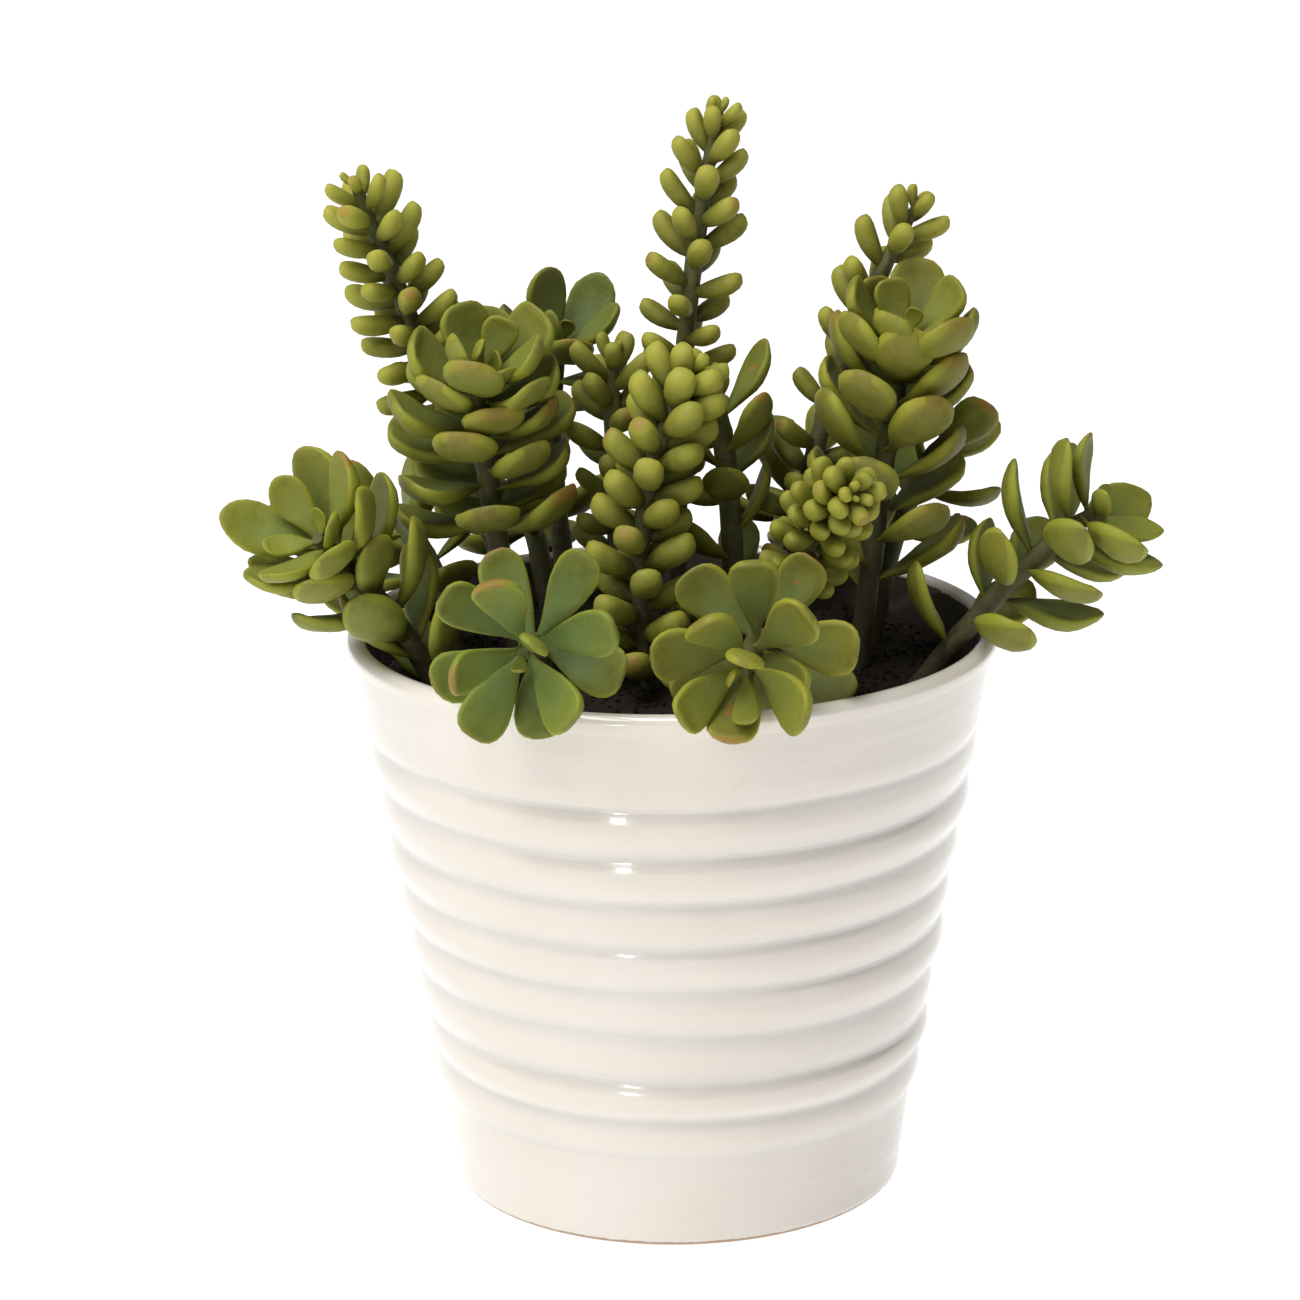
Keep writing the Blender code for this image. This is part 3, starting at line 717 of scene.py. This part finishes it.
def leaf_at(stem, path, index, bent, draw):
    """One leaf of a stem, as its directions and sizes; bent is its (turn, lean, scale)."""
    kind = stem["kind"]
    turn, lean, scale = bent
    share = index / (stem["count"] - 1)
    points, tangents, sides = path
    down = stem["span"] * share ** stem.get("crowd", USUAL_CROWDING)
    place = (1 - down) * (len(points) - 1)
    low = min(int(place), len(points) - 2)
    axis, first = tangents[low], sides[low]
    second = np.cross(axis, first)
    spiral = stem.get("turn", 1) * GOLDEN_ANGLE * index
    angle = math.radians(stem["phase"] + spiral + turn + UNEVEN_TURN * draw[0])
    out = first * math.cos(angle) + second * math.sin(angle)
    size = min(1.0, share / kind["grown_by"]) ** GROWTH_POWER
    grown = kind["youngest"] + (1 - kind["youngest"]) * size
    young, old = stem["tilt"]
    opened = young + (old - young) * share**TILT_POWER
    tilt = math.radians(opened + lean + UNEVEN_TILT * draw[1])
    along = axis * math.cos(tilt) + out * math.sin(tilt)
    face = axis * math.sin(tilt) - out * math.cos(tilt)
    length, width = stem["leaf"]
    return {
        **kind,
        "close": stem.get("close", kind["close"]),
        "root": points[low] + (points[low + 1] - points[low]) * (place - low) - axis * ROOT_SUNK,
        "along": along, "face": face, "side": np.cross(face, along), "age": share,
        "length": length * grown * scale * (1 + UNEVEN_LENGTH * draw[2]),
        "width": width * grown * math.sqrt(scale) * (1 + UNEVEN_WIDTH * draw[3]),
    }


def leaf_balls(leaf):
    """Balls that fill a leaf, one row each: x, y, z, radius."""
    rows = []
    for across in leaf["across"]:
        for t in BALLS_ALONG:
            half = leaf["width"] / 2 * leaf_outline(leaf, t)
            radius = half * leaf["plump"] * math.sqrt(1 - across**2)
            rows.append([*leaf_point(leaf, t, across, 0.0), radius])
    return np.array(rows)


def stem_balls(stem):
    """Balls that fill a stem above the soil."""
    points = stem_path(stem, PATH_STEPS // 2)[0]
    rows = np.column_stack([points, np.full(len(points), stem["kind"]["stem_radius"])])
    return rows[rows[:, 2] > SOIL_LEVEL]


def clear_of_pot(balls):
    """True where no ball meets the pot's wall and lip, or the soil."""
    rho = np.hypot(balls[:, 0], balls[:, 1])
    z, radius = balls[:, 2], balls[:, 3]
    low = np.array([FOOT_RADIUS - WALL / 2, 0.0])
    run = np.array([RIM_RADIUS - WALL / 2, POT_HEIGHT - WALL / 2]) - low
    t = np.clip(((rho - low[0]) * run[0] + (z - low[1]) * run[1]) / (run @ run), 0, 1)
    wall = np.hypot(rho - low[0] - t * run[0], z - low[1] - t * run[1])
    soil = np.array([soil_height(r) for r in rho]) + 2 * SOIL_LUMP
    over_soil = (rho > RIM_RADIUS - WALL) | (z > soil + GAP + radius)
    return (wall > WALL / 2 + GROOVE_DEPTH + radius).all() and over_soil.all()


def clear_of(balls, others):
    """True where no ball comes within the clearance of the others."""
    apart = np.linalg.norm(balls[:, None, :3] - others[None, :, :3], axis=2)
    return (apart > balls[:, None, 3] + others[None, :, 3] + CLEARANCE).all()


def grow_plant():
    """Every stem's leaves, each bent clear of the pot, the soil and the other stems."""
    taken = {name: [stem_balls(stem)] for name, stem in STEMS.items()}
    grown = {}
    for seed, (name, stem) in enumerate(STEMS.items(), FIRST_SEED):
        draws = np.random.default_rng(seed).uniform(-1, 1, (stem["count"], 4))
        path = stem_path(stem, PATH_STEPS)
        others = np.vstack([balls for n in STEMS if n != name for balls in taken[n]])
        apart = np.linalg.norm(others[:, None, :3] - path[0][None], axis=2).min(axis=1)
        others = others[apart < REACH]
        grown[name] = []
        for index in range(stem["count"]):
            for bent in TRIES:
                leaf = leaf_at(stem, path, index, bent, draws[index])
                balls = leaf_balls(leaf)
                if clear_of_pot(balls) and clear_of(balls, others):
                    grown[name].append(leaf)
                    taken[name].append(balls)
                    break
    return grown


def blunt(share):
    """Squares off a round section a little, as in a leaf swollen with sap."""
    return math.copysign(abs(share) ** BLUNTNESS, share)


def model_leaf(name, stem):
    """A grown leaf of this stem along +X with its face up: cupped above, keeled below."""
    kind = stem["kind"]
    length, width = stem["leaf"]
    along, side, face = np.eye(3)
    leaf = {
        **kind, "close": stem.get("close", kind["close"]), "root": np.zeros(3),
        "along": along, "side": side, "face": face, "length": length, "width": width,
    }
    work = bmesh.new()
    bmesh.ops.create_uvsphere(
        work, u_segments=kind["segments"], v_segments=kind["rings"], radius=1
    )
    marks = {"along": [], "rim": [], "upper": []}
    for vert in work.verts:
        t = clipped((1 + vert.co.z) / 2)
        x, y = vert.co.x, vert.co.y
        around = math.hypot(x, y)
        across, above = (blunt(x / around), blunt(y / around)) if around > 0.01 else (0.0, 0.0)
        blade = clipped((t - CUPPED_FROM) / CUPPED_OVER) * min(1.0, (1 - t) / CUPPED_TO_TIP)
        depth = above * kind["keel"] if above < 0 else above - kind["cup"] * blade * above**2
        marks["along"].append(t)
        marks["rim"].append(across * across)
        marks["upper"].append(0.5 + 0.5 * above)
        vert.co = leaf_point(leaf, t, across, depth)
    return finished(name + "_leaf", work, marks)


def stem_line(name, stem):
    """The stem's middle as a curve, thinner towards its tip."""
    points = stem_path(stem, STEM_STEPS)[0]
    curve = bpy.data.curves.new(name, "CURVE")
    curve.dimensions = "3D"
    line = curve.splines.new("POLY")
    line.points.add(len(points) - 1)
    for number, (spot, point) in enumerate(zip(line.points, points)):
        spot.co = (*(point * MM), 1.0)
        thinned = max(0, number - THINS_FROM) / (STEM_STEPS - THINS_FROM)
        spot.radius = 1 - TIP_THINNING * thinned
    return placed(name + "_line", curve)


def anchors(name, stem, leaves):
    """A mesh of leaf roots that holds each leaf's turn, size, age and own colour draws."""
    mesh = bpy.data.meshes.new(name)
    mesh.from_pydata([leaf["root"] * MM for leaf in leaves], [], [])
    draws = np.random.default_rng(len(leaves)).uniform(0, 1, (len(leaves), 2))
    turned, sized = [], []
    for leaf in leaves:
        axes = Matrix([leaf["along"], leaf["side"], leaf["face"]]).transposed()
        long = leaf["length"] / stem["leaf"][0]
        turned.append(tuple(axes.to_quaternion()))
        sized.append((long, leaf["width"] / stem["leaf"][1], long))
    for key, kind, part, values in (
        ("turned", "QUATERNION", "value", turned),
        ("sized", "FLOAT_VECTOR", "vector", sized),
        ("age", "FLOAT", "value", [leaf["age"] for leaf in leaves]),
        ("tone", "FLOAT", "value", draws[:, 0]),
        ("blush", "FLOAT", "value", draws[:, 1]),
    ):
        flat = np.array(values, np.float32).ravel()
        mesh.attributes.new(key, kind, "POINT").data.foreach_set(part, flat)
    return placed(name, mesh)


def leafy_stem_tree():
    """Leaves set on their anchors and made uneven, and a knobbly stem through them."""
    tree = Tree("leafy_stem", {
        "Leaf": "Object", "Line": "Object", "Stem Radius": "Float", "Uneven": "Float",
        "Seed": "Float", "Skin": "Material", "Bark": "Material",
    })
    leaf = tree.node("GeometryNodeObjectInfo", {}, {"Object": tree.given("Leaf")}, "Geometry")
    turned = tree.node(
        "GeometryNodeInputNamedAttribute", {"data_type": "QUATERNION"}, {"Name": "turned"}
    )
    sized = tree.node(
        "GeometryNodeInputNamedAttribute", {"data_type": "FLOAT_VECTOR"}, {"Name": "sized"}
    )
    set_out = tree.node(
        "GeometryNodeInstanceOnPoints", {},
        {"Points": tree.given("Geometry"), "Instance": leaf, "Rotation": turned, "Scale": sized},
    )
    real = tree.node("GeometryNodeRealizeInstances", {}, {"Geometry": set_out})
    place = tree.node("GeometryNodeInputPosition")
    offset = tree.jitter(place, UNEVEN_OVER * MM, tree.given("Uneven"), tree.given("Seed"))
    uneven = tree.node("GeometryNodeSetPosition", {}, {"Geometry": real, "Offset": offset})
    leaves = tree.node(
        "GeometryNodeSetMaterial", {}, {"Geometry": uneven, "Material": tree.given("Skin")}
    )
    line = tree.node("GeometryNodeObjectInfo", {}, {"Object": tree.given("Line")}, "Geometry")
    share = tree.node("GeometryNodeSplineParameter")
    marked = tree.node(
        "GeometryNodeStoreNamedAttribute", {"data_type": "FLOAT", "domain": "POINT"},
        {"Geometry": line, "Name": "along", "Value": share},
    )
    ring = tree.node(
        "GeometryNodeCurvePrimitiveCircle", {"mode": "RADIUS"},
        {"Resolution": STEM_SIDES, "Radius": tree.given("Stem Radius")},
    )
    thick = tree.node("GeometryNodeInputRadius")
    tube = tree.node(
        "GeometryNodeCurveToMesh", {},
        {"Curve": marked, "Profile Curve": ring, "Fill Caps": True, "Scale": thick},
    )
    knobs = tree.jitter(place, KNOB_SIZE * MM, KNOB_RISE * MM, tree.given("Seed"))
    bark = tree.node("GeometryNodeSetPosition", {}, {"Geometry": tube, "Offset": knobs})
    smooth = tree.node("GeometryNodeSetShadeSmooth", {}, {"Geometry": bark})
    stem = tree.node(
        "GeometryNodeSetMaterial", {}, {"Geometry": smooth, "Material": tree.given("Bark")}
    )
    joined = tree.node("GeometryNodeJoinGeometry", {}, {"Geometry": [leaves, stem]})
    whole = tree.node("GeometryNodeRealizeInstances", {}, {"Geometry": joined})
    tree.tree.links.new(whole, tree.end.inputs[0])
    return tree


def tinted(colour, factors, lift=(0.0, 0.0, 0.0)):
    """A colour with each of its three parts scaled, and then lifted."""
    return tuple(part * factor + more for part, factor, more in zip(colour, factors, lift))


def stem_bark():
    """Stem skin: olive green near the tip, darker olive brown lower down, mottled."""
    finish = Finish("stem_bark", Subsurface_Weight=0.05, Subsurface_Scale=0.001)
    along = finish.attribute("along")
    mottle = finish.speckle(2.2, 4.0)
    old = finish.blend(mottle, (0.035, 0.030, 0.012), (0.085, 0.075, 0.03))
    young = finish.blend(mottle, (0.06, 0.062, 0.014), (0.12, 0.12, 0.03))
    colour = finish.blend(finish.ease(along + (mottle - 0.5) * 0.4, 0.25, 0.8), old, young)
    return finish.surface(colour, 0.6 + mottle * 0.15, mottle, 0.5)


def bead_skin(name, green):
    """Dusty bead skin: olive green, brighter and yellower to the tip, with painted shade at the
    root.
    """
    finish = Finish(
        name, Subsurface_Weight=0.15, Subsurface_Radius=SAP_GLOW, Subsurface_Scale=0.002,
        Specular_IOR_Level=0.3,
    )
    along, age, tone = (finish.attribute(key) for key in ("along", "age", "tone"))
    mottle = finish.speckle(5, 3.0)
    green = tinted(green, LESS_BLUE)
    root_shade = tinted(green, (0.3, 0.3, 0.3))
    bright = tinted(green, (1.5, 1.45, 1.6), (0.02, 0.02, 0.0))
    dusty = tinted(green, (1.25, 1.25, 1.25), (0.035, 0.035, 0.035))
    # Painted shade: each leaf darkens to a third of its green towards its root.
    colour = finish.blend(finish.ease(along + (mottle - 0.5) * 0.25, 0.15, 0.6), root_shade, green)
    patch = finish.ease(finish.speckle(2.4, 4.0, 0.6), 0.42, 0.68)
    colour = finish.blend(patch * 0.45, colour, tinted(green, (0.6, 0.6, 0.6)))
    lit = finish.ease(along + (mottle - 0.5) * 0.3 + tone * 0.25 - age * 0.2, 0.6, 1.15)
    colour = finish.blend(lit, colour, bright)
    colour = finish.blend((1 - age) ** 3 * 0.4, colour, bright)
    rust = finish.ease(along, 0.93, 1.0) * finish.ease(finish.attribute("blush"), 0.8, 0.95)
    colour = finish.blend(rust * 0.6, colour, BEAD_RUST)
    dust = finish.ease(finish.speckle(1.3, 5.0, 0.7), 0.48, 0.72)
    colour = finish.blend(dust * 0.3, colour, dusty)
    wax = finish.speckle(0.7, 2.0)
    return finish.surface(colour, 0.52 + mottle * 0.16, mottle * 0.7 + wax * 0.2, 0.4)


def broad_skin(name, green):
    """Dusty leaf skin: painted shade at the root, bluish bloom up the middle, a pale yellow-green
    rim partly brightened as a painted highlight, rusty tips.
    """
    finish = Finish(
        name, Subsurface_Weight=0.12, Subsurface_Radius=SAP_GLOW, Subsurface_Scale=0.002,
        Specular_IOR_Level=0.3,
    )
    along, rim, upper = (finish.attribute(key) for key in ("along", "rim", "upper"))
    age, tone, blush = (finish.attribute(key) for key in ("age", "tone", "blush"))
    mottle = finish.speckle(6, 4.0)
    streak = finish.speckle(2.5, 3.0)
    green = tinted(green, LESS_BLUE)
    root_shade = tinted(green, (0.3, 0.3, 0.3))
    bloom = tinted(green, (0.76, 0.96, 1.7))
    pale = tinted(green, (1.5, 1.45, 0.9), (0.03, 0.03, 0.0))
    warm = tinted(green, (1.3, 1.05, 0.8))
    dusty = tinted(green, (1.2, 1.2, 1.2), (0.035, 0.035, 0.035))
    # Painted shade: each leaf darkens to a third of its green towards its root.
    colour = finish.blend(finish.ease(along + (mottle - 0.5) * 0.25, 0.05, 0.6), root_shade, green)
    colour = finish.blend(tone * 0.6, colour, warm)
    patch = finish.ease(finish.speckle(3.4, 4.0, 0.6), 0.42, 0.68)
    colour = finish.blend(patch * 0.45, colour, tinted(green, (0.6, 0.6, 0.6)))
    middle = (1 - rim) * finish.ease(upper, 0.45, 0.8) * finish.ease(along, 0.95, 0.5)
    colour = finish.blend((middle * (0.35 + mottle * 0.9)).clipped(), colour, bloom)
    # The pale yellow-green rim is the leaf's own colour, widened and brightened as a painted
    # highlight along the edge.
    edge = finish.ease(rim + along * 0.3 + (mottle - 0.5) * 0.3, 0.82, 1.28)
    colour = finish.blend(edge * (0.6 + tone * 0.4), colour, pale)
    colour = finish.blend((1 - age) ** 3 * 0.45, colour, pale)
    rusty = 0.06 + finish.ease(blush, 0.65, 0.95) * 0.94
    tip = finish.ease(along + rim * 0.02 + (streak - 0.5) * 0.07, 0.94, 1.0)
    colour = finish.blend(tip * rusty * 0.6, colour, TIP_RUST)
    spot = finish.ease(finish.speckle(4.5, 1.0), 0.66, 0.72) * finish.ease(blush, 0.8, 0.9)
    colour = finish.blend(spot * 0.6, colour, SPOT_RUST)
    dust = finish.ease(finish.speckle(1.6, 5.0, 0.7), 0.48, 0.72)
    colour = finish.blend(dust * 0.25, colour, dusty)
    wax = finish.speckle(0.7, 2.0)
    return finish.surface(colour, 0.5 + mottle * 0.16, mottle * 0.7 + wax * 0.2, 0.4)


bark = stem_bark()
planted = leafy_stem_tree()
for name, leaves in grow_plant().items():
    stem = STEMS[name]
    kind = stem["kind"]
    leaf, line = model_leaf(name, stem), stem_line(name, stem)
    piece = anchors("leafy_" + name, stem, leaves)
    make_skin = bead_skin if kind is BEAD else broad_skin
    skin = make_skin(name + "_skin", stem["green"])
    planted.grow(
        piece, Leaf=leaf, Line=line, Stem_Radius=kind["stem_radius"] * MM,
        Uneven=kind["uneven"] * MM, Seed=float(len(leaves)), Skin=skin, Bark=bark,
    )
    bpy.data.objects.remove(leaf)
    bpy.data.objects.remove(line)
    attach(piece, "root")
    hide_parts(name)

# Studio. A pale table top that runs out of view and glows enough to look white, faint light from
# all round, a soft lamp from the front left, one overhead for the leaves, a small one whose
# reflections light up the ribs, and the camera at the photograph's angle. Places are in metres.

FLOOR_SIZE = 4000
FLOOR_GLOW = 0.93
ROOM_LIGHT = 0.22
WHITE = (1.0, 1.0, 1.0, 1.0)
PALE_FLOOR = (0.34, 0.34, 0.34)
WARM_FLOOR = (0.38, 0.375, 0.37)
PLANT_MIDDLE = (0, 0, 0.12)
POT_MIDDLE = (0, 0, 0.08)
CAMERA_PLACE = (0.0, -1.0, 0.404)
CAMERA_ANGLES = (74.02, 0.66, 0.09)
CAMERA_LENS = 134.22
CAMERA_SENSOR = 36.0


def pale_floor():
    """Matt, nearly white floor with a faint veil of warmer patches."""
    finish = Finish("pale_floor", Emission_Strength=FLOOR_GLOW, Emission_Color=WHITE)
    veil = finish.speckle(400, 2.0)
    return finish.surface(finish.blend(veil, PALE_FLOOR, WARM_FLOOR), 0.7)


def lamp(name, place, aim, power, size):
    """A square, soft lamp that looks at a point."""
    light = bpy.data.lights.new(name, "AREA")
    light.energy = power
    light.size = size
    thing = placed(name, light)
    thing.location = place
    thing.rotation_euler = (Vector(aim) - Vector(place)).to_track_quat("-Z", "Y").to_euler()


work = bmesh.new()
bmesh.ops.create_grid(work, x_segments=8, y_segments=8, size=FLOOR_SIZE)
floor = finished("table_top", work)
floor.data.materials.append(pale_floor())

world = bpy.data.worlds.new("white_room")
world.use_nodes = True
room = world.node_tree.nodes["Background"]
room.inputs["Color"].default_value = WHITE
room.inputs["Strength"].default_value = ROOM_LIGHT
bpy.context.scene.world = world

lamp("window_light", (-0.75, -0.75, 0.95), PLANT_MIDDLE, power=5.0, size=0.6)
lamp("small_window", (-0.36, -1.05, 0.17), POT_MIDDLE, power=1.0, size=0.10)
lamp("overhead_light", (-0.35, -0.3, 1.4), PLANT_MIDDLE, power=15.0, size=0.8)

camera = placed("camera", bpy.data.cameras.new("camera"))
camera.data.sensor_width = CAMERA_SENSOR
camera.data.lens = CAMERA_LENS
camera.location = CAMERA_PLACE
camera.rotation_euler = [math.radians(angle) for angle in CAMERA_ANGLES]
bpy.context.scene.camera = camera
bpy.context.scene.view_settings.view_transform = "Standard"
